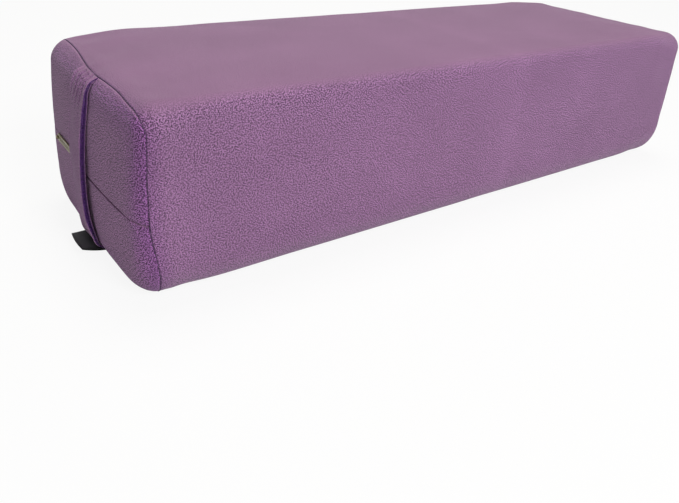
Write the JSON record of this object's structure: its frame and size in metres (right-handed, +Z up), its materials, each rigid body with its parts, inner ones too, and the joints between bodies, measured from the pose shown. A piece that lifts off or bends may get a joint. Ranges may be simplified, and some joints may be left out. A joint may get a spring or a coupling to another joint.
{
  "type": "rectangular yoga bolster",
  "caption": "Rectangular yoga bolster: layered foam in a soft zipped fabric cover, with a carrying strap and a folded tag on one end panel.",
  "frame": {"origin": "middle of the flat base that the bolster rests on", "axes": "+X along the length, from the end with the strap and zip to the plain end; +Y across the width, from the front long side to the back; +Z up"},
  "size_m": [0.6658, 0.21, 0.152],
  "materials": {
    "cover_cloth": "matte",
    "webbing": "matte",
    "tag_cloth": "matte",
    "zip_tape": "matte",
    "zip_teeth": "satin",
    "zip_metal": "satin",
    "lining": "matte",
    "batting": "matte",
    "firm_foam": "matte",
    "soft_foam": "matte"
  },
  "bodies": {
    "bolster": {"cover_sleeve": "cover_cloth", "near_panel_upper": "cover_cloth", "near_panel_lower": "cover_cloth", "far_panel": "cover_cloth", "handle_strap": "cover_cloth", "handle_webbing": "webbing", "woven_tag": "tag_cloth", "zipper_tape_upper": "zip_tape", "zipper_tape_lower": "zip_tape", "zipper_teeth_upper": "zip_teeth", "zipper_teeth_lower": "zip_teeth", "zipper_top_stop_upper": "zip_metal", "zipper_top_stop_lower": "zip_metal", "zipper_bottom_stop": "zip_metal", "inner_liner": "lining", "batting_wrap": "batting", "foam_core": "firm_foam", "foam_layer_top": "soft_foam", "foam_layer_bottom": "soft_foam"},
    "slider": {"zipper_slider": "zip_metal"},
    "pull_tab": {"zipper_pull_tab": "zip_metal"}
  },
  "joints": [
    {"name": "slider_run", "type": "hinge", "parent": "bolster", "child": "slider", "pos_m": [0.35906, 0, 0.0705], "axis": [0, -0.0542, 0.9985], "range_deg": [0, 9.95], "deforming": ["zipper_teeth_upper", "zipper_teeth_lower", "zipper_tape_upper", "zipper_tape_lower", "handle_strap", "handle_webbing"]},
    {"name": "tab_swing", "type": "hinge", "parent": "slider", "child": "pull_tab", "pos_m": [-0.32858, 0.05994, 0.07375], "axis": [-0.0085, -0.085, -0.9963], "range_deg": [0, 175]}
  ]
}
